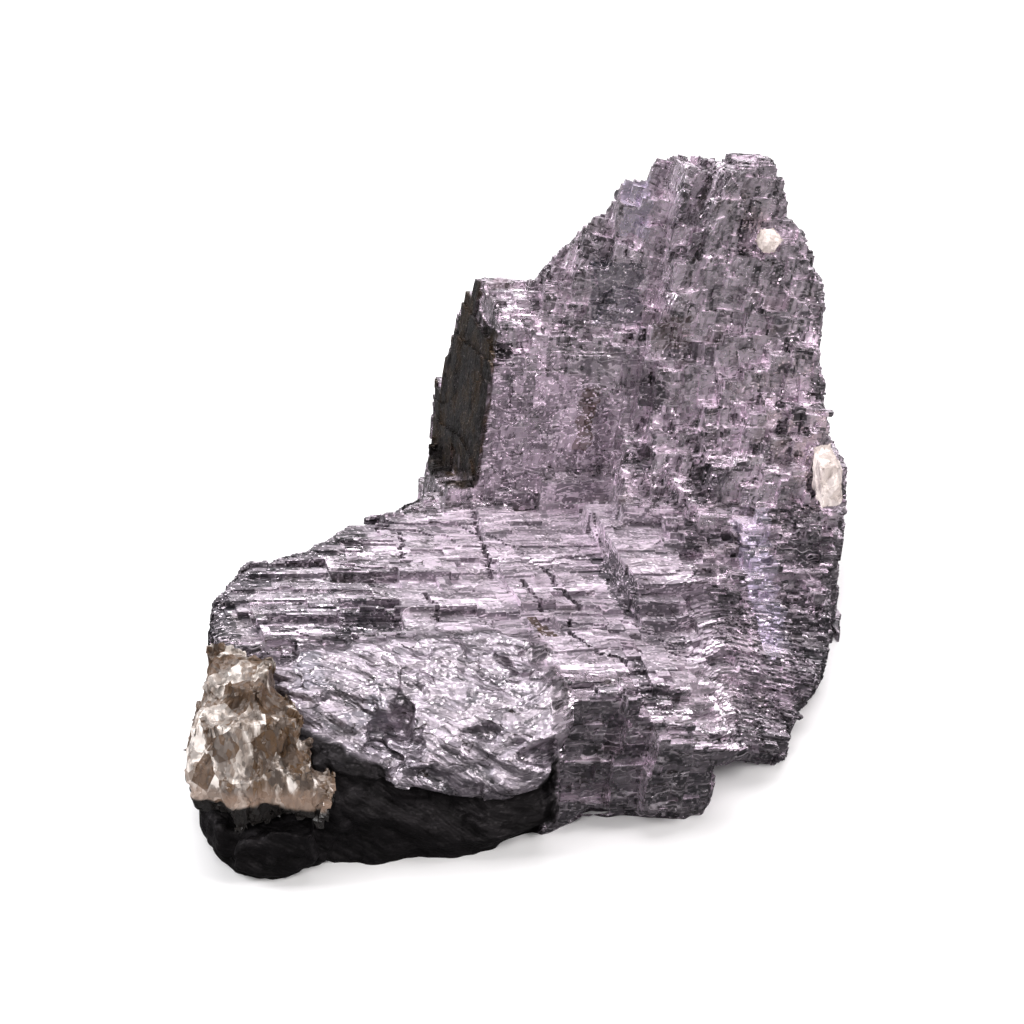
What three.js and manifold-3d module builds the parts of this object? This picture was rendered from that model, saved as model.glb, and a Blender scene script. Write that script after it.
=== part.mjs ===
// A hand specimen of galena with a crust of calcite: an upright slab that stands on a broad foot.
// Galena breaks along three planes at right angles, so the metallic mass is built as blocks in its
// own crystal axes (x along the slab, y into it, z up its columns). The mass is then turned
// the way it lies, trimmed to its broken outline and seated on the surface it stands on.
// Millimetres, +Z up. The viewer stands in front, towards -Y.
import * as THREE from "three";
import { ConvexGeometry } from "three/addons/geometries/ConvexGeometry.js";
import { mergeVertices } from "three/addons/utils/BufferGeometryUtils.js";
import Module from "manifold-3d";

const wasm = await Module();
wasm.setup();
const { Manifold } = wasm;

// ---- How the crystal lies ----
const CRYSTAL_YAW = 15; // degrees, the slab's face turns to the viewer's right
const CRYSTAL_ROLL = 9; // degrees, the foot dips to the right
const CRYSTAL_LEAN = 3; // degrees, the slab leans back
const INNER_CORNER = [1.6, 35.4, 24.5]; // where slab and foot meet, above the surface it stands on

// ---- Main sizes, in crystal axes ----
const DEEPEST = -60; // lower than any point of the base before it is cut level
const SLAB_LEFT = -10.4; // the slab's dark end
const PANEL_RIGHT = 23; // the smooth panel on the slab's front ends here
const SHOULDER_TOP = 47; // no part of the slab behind the panel stands higher
const CREST_SKEW = 0.36; // how far the crest runs to the right for each millimetre back
const DARK_END_FALL = 0.44; // the slab's back falls off this much less steeply at its dark end
const UPPER_TIP = 8; // degrees, how much further the upper slab tips to the right
const UPPER_PIVOT = [5, 0, 45];
const UPPER_BOTTOM = 30; // its blocks reach down into the slab
const STEP = 1; // cleavage steps are multiples of this
const MINERAL_GAP = 0.35; // air between two minerals

// ---- Steady chance, so every build is the same ----
function chanceFrom(seed) {
  let state = seed;
  return (low = 0, high = 1) => {
    state = (state + 0x6d2b79f5) | 0;
    let t = Math.imul(state ^ (state >>> 15), 1 | state);
    t = (t + Math.imul(t ^ (t >>> 7), 61 | t)) ^ t;
    return low + (((t ^ (t >>> 14)) >>> 0) / 4294967296) * (high - low);
  };
}

// ---- Solids from three.js geometries ----
function solidOf(geometry) {
  const bare = geometry.clone();
  bare.deleteAttribute("normal");
  bare.deleteAttribute("uv");
  const merged = mergeVertices(bare, 1e-4);
  return new Manifold(
    new wasm.Mesh({
      numProp: 3,
      vertProperties: merged.attributes.position.array,
      triVerts: new Uint32Array(merged.index.array),
    }),
  );
}

function geometryOf(solid) {
  const mesh = solid.getMesh();
  const geometry = new THREE.BufferGeometry();
  geometry.setAttribute("position", new THREE.BufferAttribute(mesh.vertProperties, 3));
  geometry.setIndex(new THREE.BufferAttribute(mesh.triVerts, 1));
  const faceted = geometry.toNonIndexed();
  faceted.computeVertexNormals();
  return faceted;
}

// A block between two corners, flat on top unless the height of its top is given by place.
// Its corners are set exactly, so that neighbours share a face.
function block(low, high, topAt = () => high[2]) {
  const geometry = new THREE.BoxGeometry(1, 1, 1);
  const at = geometry.attributes.position;
  for (let i = 0; i < at.count; i++) {
    const x = at.getX(i) > 0 ? high[0] : low[0];
    const y = at.getY(i) > 0 ? high[1] : low[1];
    const z = at.getZ(i) > 0 ? topAt(x, y) : low[2];
    at.setXYZ(i, x, y, z);
  }
  return solidOf(geometry);
}

const degrees = THREE.MathUtils.degToRad;
const crystalToPart = new THREE.Matrix4()
  .makeRotationFromEuler(
    new THREE.Euler(
      degrees(-CRYSTAL_LEAN),
      degrees(CRYSTAL_ROLL),
      degrees(CRYSTAL_YAW),
      "ZYX",
    ),
  )
  .setPosition(...INNER_CORNER);

const upperTip = new THREE.Matrix4()
  .makeTranslation(...UPPER_PIVOT)
  .multiply(new THREE.Matrix4().makeRotationY(degrees(UPPER_TIP)))
  .multiply(new THREE.Matrix4().makeTranslation(...UPPER_PIVOT.map((value) => -value)));

function moved(solid, matrix) {
  return solidOf(geometryOf(solid).applyMatrix4(matrix));
}

// The value at t of a line through [t, value] points in rising order, flat past its ends.
function along(line, t) {
  if (t <= line[0][0]) return line[0][1];
  for (let i = 1; i < line.length; i++) {
    const [t0, v0] = line[i - 1];
    const [t1, v1] = line[i];
    if (t <= t1) return v0 + ((v1 - v0) * (t - t0)) / (t1 - t0);
  }
  return line[line.length - 1][1];
}

// ---- The lie of the land: how high the mass stands at a place, in crystal axes ----

// Sections across the foot and the sloping flank, each from its front edge back to the slab.
const FOOT_SECTIONS = [
  { x: -72, line: [[-60, -14], [-56, -7], [-52, -3], [-42, -1.5], [-34, -1.5]] },
  { x: -58, line: [[-62, -14], [-58, -7], [-52, -3], [-46, -1], [-30, 1], [-18, 1]] },
  {
    x: -45,
    line: [[-66, -18], [-65, -10], [-61, -5], [-55, -1], [-40, 0], [-16, 0.5], [-8, -4]],
  },
  { x: -33, line: [[-75, -21], [-73, -13], [-70, -8], [-65, -4], [-57, 0], [-6, 0], [2, -8]] },
  { x: -20, line: [[-80, -19], [-77, -13], [-74, -8], [-69, -4], [-61, 0], [4, 0], [14, -10]] },
  { x: -12, line: [[-77, -15], [-75, -6], [-72, -3], [-67, 0], [0, 0]] },
  { x: 3, line: [[-72, -1], [-66, 0], [0, 0]] },
  { x: 8, line: [[-74, -7], [-66, -5], [-62, -2], [-50, -1], [0, 0]] },
  { x: 18, line: [[-74, -9], [-64, -7], [-54, -5], [-46, -4], [-40, 0], [0, 1]] },
  {
    x: 25,
    line: [[-68, -15], [-60, -9], [-50, -4], [-40, 3], [-22, 6], [-12, 12], [-6, 24], [0, 60]],
  },
  {
    x: 40,
    line: [[-58, -14], [-50, -8], [-38, -1], [-28, 6], [-18, 15], [-10, 29], [-4, 47], [2, 68]],
  },
  { x: 55, line: [[-38, -8], [-30, 3], [-22, 15], [-14, 30], [-7, 44], [1, 56]] },
  { x: 66, line: [[-20, -10], [-10, 5], [0, 15]] },
];

// The broken crest of the slab, from left to right, and how the slab thins towards it.
const SLAB_CREST = [
  [-11, 47], [-6, 49], [-1, 55], [4, 59], [7, 64], [10, 68], [15, 73], [19, 76], [30, 77],
  [38, 76], [43, 70], [47, 61], [52, 56], [56, 44], [60, 26], [65, 12], [70, 0],
];
const BACK_FALL = [
  [0, 0], [5, 2], [9, 5], [13, 8], [17, 12], [21, 17], [25, 25], [29, 36], [33, 52], [37, 74],
];

// Above the panel's broken rim a shoulder slopes back, nearly level at the slab's dark end and
// steep at the panel's right: the rim's height, and the shoulder's slope, from left to right.
const PANEL_RIM = [[-10.4, 37.5], [0, 35], [23, 33]];
const SHOULDER_SLOPE = [[-10.4, 0.2], [-4, 0.4], [3, 1], [12, 1.3], [23, 2]];

// Where the upper slab rises out of the shoulder, and how high its front stands there.
const UPPER_SETBACK = [[-10, 17], [0, 14], [6, 9], [12, 6]];
const UPPER_FRONT = [[-10, 41], [0, 42], [10, 52], [30, 58]];
const UPPER_SLOPE = 2.4;

function footHeight(x, y) {
  const last = FOOT_SECTIONS.length - 1;
  let i = 0;
  while (i < last - 1 && x > FOOT_SECTIONS[i + 1].x) i++;
  const left = FOOT_SECTIONS[i];
  const right = FOOT_SECTIONS[i + 1];
  const share = THREE.MathUtils.clamp((x - left.x) / (right.x - left.x), 0, 1);
  return THREE.MathUtils.lerp(along(left.line, y), along(right.line, y), share);
}

// The crest runs back to the right.
function crestHeight(x, y) {
  const steepness = along([[SLAB_LEFT, DARK_END_FALL], [8, 1]], x);
  return along(SLAB_CREST, x - CREST_SKEW * y) - steepness * along(BACK_FALL, y);
}

function massHeight(x, y) {
  if (x > PANEL_RIGHT) {
    return y > 0 ? Math.min(footHeight(x, y) + 2 * y, crestHeight(x, y)) : footHeight(x, y);
  }
  if (y < 0 || x < SLAB_LEFT) return footHeight(x, y);
  const shoulder = along(PANEL_RIM, x) + along(SHOULDER_SLOPE, x) * y;
  return Math.min(crestHeight(x, y), shoulder, SHOULDER_TOP);
}

// The upper slab is a crystal of its own: tipped a little more, it steps back as it rises.
function upperHeight(x, y) {
  const front = along(UPPER_FRONT, x) + UPPER_SLOPE * (y - along(UPPER_SETBACK, x));
  return Math.min(front, crestHeight(x + 4, y) + 3);
}

// The broken edge of the mass seen along its columns.
const PLAN = [
  [-76, -58], [-69, -69], [-62, -73], [-48, -73], [-34, -76], [-24, -79], [-13, -76],
  [-8, -73], [2, -73], [3, -78], [22, -78], [25, -68], [36, -67], [46, -56], [55, -43],
  [61, -30], [67, -16], [68, 2], [62, 20], [50, 32], [28, 38], [4, 38], [-13, 36], [-15, 16],
  [-20, 9], [-38, -4], [-46, -12], [-62, -21], [-70, -31], [-76, -42],
];

function inPlan(x, y) {
  let inside = false;
  for (let i = 0, j = PLAN.length - 1; i < PLAN.length; j = i++) {
    const [xi, yi] = PLAN[i];
    const [xj, yj] = PLAN[j];
    if (yi > y !== yj > y && x < xi + ((xj - xi) * (y - yi)) / (yj - yi)) inside = !inside;
  }
  return inside;
}

// ---- Cleavage blocks ----
// Each field of the mass splits, again and again, into blocks no larger than its grain. Its
// blocks stand at the field's height, each a little up or down, and where the crystal is bent
// their tops slope with it.
const FIELDS = [
  // the foot's rounded front
  { x: [-76, -11], y: [-82, -50], grain: [8, 5], rough: 0.7, bent: true, seed: 11 },
  // the ribbed plateau
  { x: [-76, -11], y: [-50, 18], grain: [17, 5], rough: 0.8, seed: 12 },
  // the stepped front corner
  { x: [-11, 23], y: [-82, -44], grain: [8, 5], rough: 0.5, seed: 23 },
  // the plateau below the panel
  { x: [-11, 23], y: [-44, 0], grain: [11, 6], rough: 0.9, seed: 14 },
  // the toe of the flank
  { x: [23, 70], y: [-82, -40], grain: [7, 4], rough: 0.9, bent: true, seed: 15 },
  // the steep flank
  { x: [23, 70], y: [-40, 6], grain: [5, 3.8], rough: 1.8, seed: 16 },
  // the foot's back corner, below the slab's dark end
  { x: [-15, SLAB_LEFT], y: [0, 40], grain: [6, 8], rough: 0.8, seed: 18 },
  // the shoulder above the panel, and the slab behind it
  { x: [SLAB_LEFT, 23], y: [0, 14], grain: [6, 2.6], rough: 0.8, seed: 17 },
  { x: [SLAB_LEFT, 23], y: [14, 40], grain: [10, 8], rough: 1, seed: 20 },
  // the slab behind the flank
  { x: [23, 70], y: [6, 40], grain: [7, 6.5], rough: 2.2, seed: 19 },
];
const UPPER_FIELD = { x: [-8, 30], y: [6, 32], grain: [6, 3], rough: 1.4, seed: 41 };

const onGrid = (value) => Math.round(value * 4) / 4;

function splitField(field, heightAt, bottom) {
  const chance = chanceFrom(field.seed);
  const blocks = [];
  function split(x0, x1, y0, y1) {
    const wide = (x1 - x0) / field.grain[0];
    const deep = (y1 - y0) / field.grain[1];
    if (Math.max(wide, deep) > chance(0.9, 1.5)) {
      const share = chance(0.36, 0.64);
      if (wide > deep) {
        const cut = onGrid(x0 + (x1 - x0) * share);
        split(x0, cut, y0, y1);
        split(cut, x1, y0, y1);
      } else {
        const cut = onGrid(y0 + (y1 - y0) * share);
        split(x0, x1, y0, cut);
        split(x0, x1, cut, y1);
      }
      return;
    }
    const x = (x0 + x1) / 2;
    const y = (y0 + y1) / 2;
    const lift = chance(-field.rough, field.rough);
    const top = Math.round((heightAt(x, y) + lift) / STEP) * STEP;
    if (!inPlan(x, y) || top <= bottom) return;
    const bent = field.bent && ((px, py) => heightAt(px, py) + lift);
    blocks.push(block([x0, y0, bottom], [x1, y1, top], bent || undefined));
  }
  split(field.x[0], field.x[1], field.y[0], field.y[1]);
  return blocks;
}

// The larger blocks that stand out from the fields.
const RAISED_BLOCKS = [
  // the thick plate on the foot's right, and the ledges down its front
  { low: [11, -40, -20], high: [23.5, -8, 5] },
  { low: [11.5, -43, -20], high: [22, -40, 2] },
  { low: [12, -45, -20], high: [20.5, -43, -1] },
  // the steps between the plate and the panel
  { low: [15, -18, 0], high: [26, -11, 8.5] },
  { low: [16.5, -11, 0], high: [27, -6, 12.5] },
  { low: [17, -6, 0], high: [28, 1, 17] },
  // the stub at the foot of the panel, and plates along its lower edge
  { low: [2.5, -3.5, -2], high: [18, 1, 8] },
  { low: [-6, -1.5, -2], high: [2.5, 1, 3.5] },
  // the low step under the slab's dark end
  { low: [-16, -0.5, -10], high: [-10, 3.5, 4] },
  // columns at the panel's right edge
  { low: [20, -2.5, 10], high: [27, 1, 41] },
  { low: [23.5, -4.5, 10], high: [27, 1, 31] },
  // ledges under the crest of the flank
  { low: [28, -2, 40], high: [35, 8, 66] },
  { low: [30, -1, 50], high: [34, 8, 72] },
];

// Troughs across the plateau, pits and notches: the risers at their backs lie in shadow.
const TROUGHS = [
  { low: [-58, -27, -1.8], high: [-44.5, -23.5, 8] },
  { low: [-45, -31.5, -2], high: [-31, -27, 8] },
  { low: [-35.5, -33, -1.2], high: [-24, -29, 8] },
  { low: [-45, -41.5, -2], high: [-34, -38, 8] },
  { low: [-59, -46.5, -1.8], high: [-46, -43, 8] },
  { low: [-48, -48, -2.6], high: [-34.5, -43.8, 8] },
  { low: [-8.5, -50, -2.2], high: [-5.5, -43, 8] }, // a pit
  { low: [3, -67, -3.5], high: [8.5, -60.5, 8] }, // the notch beside the front corner
  { low: [2, -80, -5], high: [7, -65, 8] },
  { low: [-10, -1, 32.5], high: [-4, 2.5, 37] }, // a pit high on the panel
  { low: [-30, -79, -9.5], high: [-24, -70, -5.5] }, // hollows in the rounded front
  { low: [-44, -70, -13], high: [-37, -63, -7.5] },
  { low: [-20, -82, -12], high: [-14, -74, -9] },
];

// Ledges and pits on an upright face: thin blocks that stand proud of it, or are taken out of it.
// Each face spans s along the slab and z up it, at the depth given.
const FACES = [
  {
    // the smooth panel: a few broad, shallow plates
    at: 0, s: [-11, 20], z: [6, 36], wide: [7, 14], tall: [7, 14], out: [0.25, 0.6],
    count: 8, pits: 0.4, seed: 31,
  },
  {
    // the front of the foot's corner
    at: -70.5, s: [-9, 3], z: [-28, -4], wide: [3, 6], tall: [4, 9], out: [0.25, 0.75],
    count: 4, pits: 0.6, seed: 35,
  },
  {
    // the front of the corner's lower step
    at: -73.5, s: [4, 21], z: [-30, -11], wide: [4, 8], tall: [1.5, 3], out: [0.4, 1],
    count: 8, pits: 0.3, seed: 36,
  },
];

function ledges(face) {
  const chance = chanceFrom(face.seed);
  const proud = [];
  const taken = [];
  for (let i = 0; i < face.count; i++) {
    const wide = chance(...face.wide);
    const tall = chance(...face.tall);
    const s = onGrid(chance(face.s[0], face.s[1] - wide));
    const z = onGrid(chance(face.z[0], face.z[1] - tall));
    const out = onGrid(chance(...face.out));
    if (chance() < face.pits) {
      taken.push(block([s, face.at - 4, z], [onGrid(s + wide), face.at + out, onGrid(z + tall)]));
    } else {
      proud.push(block([s, face.at - out, z], [onGrid(s + wide), face.at + 3, onGrid(z + tall)]));
    }
  }
  return { proud, taken };
}

// ---- Outline and seat, in the part's own axes ----

// The broken outline of the whole mass as it faces the viewer, who looks down at it:
// across and up, on the plane through VIEW_CENTRE square to the line of sight.
const VIEW_ELEVATION = 32; // degrees
const VIEW_DISTANCE = 445;
const VIEW_CENTRE = [0, 0, 45];
const OUTLINE_REACH = 150; // the outline's walls run this far to the front and the back
const OUTLINE = [
  [-50, -68.5], [-54, -66], [-56.5, -62.5], [-57.5, -59], [-58, -54], [-59.5, -51], [-59.5, -44],
  [-58.5, -39.5], [-56.5, -33], [-55.5, -28.5], [-56, -21.5], [-55, -17.5], [-52, -14],
  [-48, -10.5], [-42.5, -9.5], [-37, -8], [-32.5, -5], [-30.5, -3], [-26, -1], [-21, 0],
  [-17, 2], [-17, 5.5], [-15.5, 12], [-14.5, 18.5], [-14.5, 23], [-13.5, 27.5], [-12, 29.5],
  [-11, 32], [-10, 38.5], [-8.5, 42], [-6, 42.5], [3, 42], [5, 44.5], [8, 48], [10.5, 49.5],
  [13, 52.5], [14.5, 55], [16, 56], [18.5, 59], [22, 62], [26.5, 65.5], [31, 66],
  [34.5, 65.5], [41, 65.5], [44, 65.5],
  [46.5, 64.5], [50, 60], [50.5, 57.5], [50, 53.5], [51.5, 51.5], [54, 50], [55, 46],
  [56.5, 42], [56.5, 33.5], [56, 27.5], [57, 23.5], [58, 18], [59, 11.5], [61, 7.5], [61, -0.5],
  [60, -9], [59.5, -18], [59, -25.5], [57, -32.5], [53.5, -37], [52.5, -41.5], [51, -45.5],
  [47.5, -47.5], [42, -46.5], [37.5, -47], [37, -52], [35, -56.5], [33, -57], [23.5, -56],
  [14.5, -55.3], [10, -58], [5, -60], [-1, -62.5], [-7.5, -64], [-17, -64.5], [-24, -65.2],
  [-34, -65], [-37.5, -65.5], [-41, -67.8],
];

// The outline's walls draw together towards the viewer's eye, as lines of sight do.
function outlineWalls() {
  const shape = new THREE.Shape(OUTLINE.map(([across, up]) => new THREE.Vector2(across, up)));
  const geometry = new THREE.ExtrudeGeometry(shape, {
    depth: 2 * OUTLINE_REACH,
    bevelEnabled: false,
    steps: 1,
  });
  geometry.translate(0, 0, -OUTLINE_REACH);
  const at = geometry.attributes.position;
  for (let i = 0; i < at.count; i++) {
    const towards = at.getZ(i);
    const spread = (VIEW_DISTANCE - towards) / VIEW_DISTANCE;
    at.setXYZ(i, at.getX(i) * spread, at.getY(i) * spread, towards);
  }
  const elevation = degrees(VIEW_ELEVATION);
  geometry.applyMatrix4(
    new THREE.Matrix4().makeRotationX(Math.PI / 2 - elevation).setPosition(...VIEW_CENTRE),
  );
  return solidOf(geometry);
}

// The foot overhangs its own base along the front: this much is missing below its lip.
const UNDERCUTS = [
  { low: [-34, -70, -1], high: [12, -47.5, 12] },
  { low: [-62, -70, -1], high: [-34, -52, 15] },
];

// ---- Calcite ----
// Blunt, upright crystals packed side by side, each a closed form with flat faces.
function calciteCrystal(centre, size, turn, seed) {
  const chance = chanceFrom(seed);
  const corners = [];
  for (const [sx, sy, sz] of [
    [-1, -1, -1], [1, -1, -1], [1, 1, -1], [-1, 1, -1], [-1, -1, 1], [1, -1, 1], [1, 1, 1],
    [-1, 1, 1], [0, -1.25, 0.2], [-1.25, 0, -0.1],
  ]) {
    corners.push(
      new THREE.Vector3(
        (sx * size[0] * chance(0.7, 1)) / 2,
        (sy * size[1] * chance(0.7, 1)) / 2,
        (sz * size[2] * chance(0.75, 1)) / 2,
      ),
    );
  }
  const geometry = new ConvexGeometry(corners);
  geometry.applyMatrix4(
    new THREE.Matrix4()
      .makeRotationFromEuler(new THREE.Euler(...turn.map(degrees), "ZYX"))
      .setPosition(...centre),
  );
  return geometry;
}

// The same crystal, larger by the gap all round, about its own middle.
function grownBy(geometry, gap) {
  geometry.computeBoundingBox();
  const middle = geometry.boundingBox.getCenter(new THREE.Vector3());
  const size = geometry.boundingBox.getSize(new THREE.Vector3());
  const least = Math.min(size.x, size.y, size.z) / 2;
  const share = 1 + (2 * gap) / least;
  return geometry
    .clone()
    .translate(-middle.x, -middle.y, -middle.z)
    .scale(share, share, share)
    .translate(middle.x, middle.y, middle.z);
}

// The crust on the left end of the foot, between the foot's top and its dark base.
const CRUST = [
  // centre, size, turn
  [[-51, -36, 30], [9, 10, 15], [4, 12, 8]],
  [[-45, -39, 30], [8, 9, 17], [8, 4, -14]],
  [[-54, -41, 24], [9, 11, 20], [10, 8, -6]],
  [[-48, -44, 23], [10, 11, 21], [6, -4, 12]],
  [[-42, -45, 24], [8, 10, 21], [2, 10, 20]],
  [[-52, -46, 20], [10, 9, 14], [12, 4, -12]],
  [[-45, -48, 18.5], [11, 9, 13], [8, -6, 18]],
  [[-39, -48, 20], [9, 8, 13], [10, 6, 4]],
  [[-34.5, -50, 18.5], [9, 7, 7], [4, 8, -8]],
];

// Two lone grains of it, low on the right edge and near the crest.
const GRAINS = [
  {
    name: "calcite_on_right_edge",
    centre: [62.6, 28, 35.5],
    size: [7, 9, 12],
    turn: [6, -8, 10],
    seed: 71,
  },
  {
    name: "calcite_near_crest",
    centre: [49.8, 48.5, 76.5],
    size: [4.5, 5, 4.5],
    turn: [20, 10, 30],
    seed: 72,
  },
];

// ---- Putting it together ----
function galenaMass() {
  const fields = FIELDS.flatMap((field) => splitField(field, massHeight, DEEPEST));
  const upper = Manifold.union(splitField(UPPER_FIELD, upperHeight, UPPER_BOTTOM));
  const raised = RAISED_BLOCKS.map(({ low, high }) => block(low, high));
  const taken = TROUGHS.map(({ low, high }) => block(low, high));
  let mass = Manifold.union([...fields, moved(upper, upperTip), ...raised]);
  for (const face of FACES.map(ledges)) {
    mass = Manifold.union([mass, ...face.proud]);
    taken.push(...face.taken);
  }
  mass = mass.subtract(Manifold.union(taken));
  mass = moved(mass, crystalToPart);
  mass = mass.intersect(outlineWalls());
  mass = mass.subtract(block([-200, -200, -200], [200, 200, 0]));
  return mass.subtract(Manifold.union(UNDERCUTS.map(({ low, high }) => block(low, high))));
}

const crustCrystals = CRUST.map(([centre, size, turn], i) =>
  calciteCrystal(centre, size, turn, 50 + i),
);
const grainCrystals = GRAINS.map(({ centre, size, turn, seed }) =>
  calciteCrystal(centre, size, turn, seed),
);
const seats = [...crustCrystals, ...grainCrystals].map((crystal) =>
  solidOf(grownBy(crystal, MINERAL_GAP)),
);

// Cutting the seats can free small chips, which are left off.
function largestBody(solid) {
  const bodies = solid.decompose();
  return bodies.reduce((a, b) => (a.volume() > b.volume() ? a : b));
}

const galena = largestBody(galenaMass().subtract(Manifold.union(seats)));
const crust = largestBody(Manifold.union(crustCrystals.map(solidOf)).intersect(outlineWalls()));
const grains = grainCrystals.map((crystal) => solidOf(crystal).intersect(outlineWalls()));

// ---- Materials and the finished group ----
const galenaFinish = new THREE.MeshStandardMaterial({
  name: "galena",
  color: 0x6f6a78,
  metalness: 0.9,
  roughness: 0.38,
});
const calciteFinish = new THREE.MeshStandardMaterial({
  name: "calcite",
  color: 0xb39a88,
  metalness: 0,
  roughness: 0.35,
});

const specimen = new THREE.Group();

function addPiece(name, solid, finish) {
  const mesh = new THREE.Mesh(geometryOf(solid), finish.clone());
  mesh.name = name;
  specimen.add(mesh);
}

addPiece("galena_mass", galena, galenaFinish);
addPiece("calcite_crust", crust, calciteFinish);
grains.forEach((grain, i) => addPiece(GRAINS[i].name, grain, calciteFinish));

// The origin is under the middle of the specimen, on the surface it stands on.
const middle = new THREE.Box3().setFromObject(specimen).getCenter(new THREE.Vector3());
specimen.position.set(-middle.x, -middle.y, 0);

export default specimen;
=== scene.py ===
from math import cos, radians, sin

import bpy
import numpy as np
from mathutils import Euler, Matrix, Vector
from mathutils.bvhtree import BVHTree
from mathutils.kdtree import KDTree


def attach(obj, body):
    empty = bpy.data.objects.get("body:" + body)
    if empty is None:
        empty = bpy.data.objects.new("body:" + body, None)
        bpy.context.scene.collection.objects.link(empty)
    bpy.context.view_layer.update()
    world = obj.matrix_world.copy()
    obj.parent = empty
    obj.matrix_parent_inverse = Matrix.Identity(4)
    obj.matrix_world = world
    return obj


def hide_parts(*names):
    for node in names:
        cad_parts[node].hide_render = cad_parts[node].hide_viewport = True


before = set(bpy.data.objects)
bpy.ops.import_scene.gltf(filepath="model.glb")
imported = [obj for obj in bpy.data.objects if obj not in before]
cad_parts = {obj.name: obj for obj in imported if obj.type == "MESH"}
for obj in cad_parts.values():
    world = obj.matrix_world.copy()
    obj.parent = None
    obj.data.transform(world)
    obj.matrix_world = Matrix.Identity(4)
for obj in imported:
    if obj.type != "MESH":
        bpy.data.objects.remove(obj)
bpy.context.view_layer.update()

# --- The calcite ---------------------------------------------------------------------------
# A crust of blunt calcite crystals that grew on the left end of the foot, and two lone grains
# of it on the right edge and near the crest. They are packed without gaps, split along upright
# flat faces and sit in the galena.
MM = 0.001


def select_only(piece):
    bpy.ops.object.select_all(action="DESELECT")
    piece.select_set(True)
    bpy.context.view_layer.objects.active = piece


def merged_copy(node):
    select_only(node)
    bpy.ops.object.duplicate()
    copy = bpy.context.active_object
    bpy.ops.object.mode_set(mode="EDIT")
    bpy.ops.mesh.select_all(action="SELECT")
    bpy.ops.mesh.remove_doubles(threshold=1e-6)
    bpy.ops.object.mode_set(mode="OBJECT")
    return copy


def finish_with(piece, kind, **settings):
    select_only(piece)
    step = piece.modifiers.new(kind.lower(), kind)
    for name, value in settings.items():
        setattr(step, name, value)
    bpy.ops.object.modifier_apply(modifier=step.name)


def crystallised(node, name, skin, packing, across, depth, trim, over, seed):
    """A copy of a calcite solid with its gaps closed and its faces split into flat facets.

    skin is the fineness of its mesh, packing the gaps that are closed, across and depth the
    size of its facets, trim what they lose in all, and over how far it overhangs on the left.
    """
    piece = merged_copy(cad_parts[node])
    piece.name = name
    finish_with(piece, "REMESH", mode="VOXEL", voxel_size=skin)
    if packing:
        finish_with(piece, "DISPLACE", mid_level=0, strength=packing)
        finish_with(piece, "REMESH", mode="VOXEL", voxel_size=skin)
        finish_with(piece, "DISPLACE", mid_level=0, strength=-packing)
    places = np.empty((len(piece.data.vertices), 3), np.float32)
    facing = np.empty_like(places)
    piece.data.vertices.foreach_get("co", places.ravel())
    piece.data.vertices.foreach_get("normal", facing.ravel())
    chance = np.random.default_rng(seed)
    # A facet is the part of the skin nearest to its own middle, and is tipped its own way.
    # Large facets come first and smaller ones on them. Both are higher than they are wide.
    for size, share in ((1, 1), (0.45, 0.5)):
        scaled = places * (1, 1, 0.4) / (across * size)
        low = scaled.min(axis=0)
        high = scaled.max(axis=0)
        middles = chance.uniform(low, high, (int(np.prod(high - low + 1)) + 4, 3))
        tips = chance.uniform(-1, 1, middles.shape)
        tree = KDTree(len(middles))
        for i, middle in enumerate(middles):
            tree.insert(middle, i)
        tree.balance()
        nearest = np.array([tree.find(place)[1] for place in scaled])
        tilt = np.sum((scaled - middles[nearest]) * tips[nearest], axis=1)
        push = depth * share * np.clip(tilt, -0.8, 0.8) - trim / 2
        places = places + facing * push[:, None]
    places[:, 0] -= over * np.clip(-facing[:, 0], 0, 1)
    piece.data.vertices.foreach_set("co", places.astype(np.float32).ravel())
    piece.data.update()
    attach(piece, "root")
    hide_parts(node)
    return piece


crust = crystallised(
    "calcite_crust",
    "crust",
    skin=0.5 * MM,
    packing=1.4 * MM,
    across=5.0 * MM,
    depth=1.0 * MM,
    trim=0.5 * MM,
    over=0.4 * MM,
    seed=3,
)
edge_grain = crystallised(
    "calcite_on_right_edge",
    "edge_grain",
    skin=0.25 * MM,
    packing=0,
    across=2.5 * MM,
    depth=0.5 * MM,
    trim=0.4 * MM,
    over=0,
    seed=4,
)
crest_grain = crystallised(
    "calcite_near_crest",
    "crest_grain",
    skin=0.2 * MM,
    packing=0,
    across=1.8 * MM,
    depth=0.3 * MM,
    trim=0.4 * MM,
    over=0,
    seed=5,
)


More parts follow.
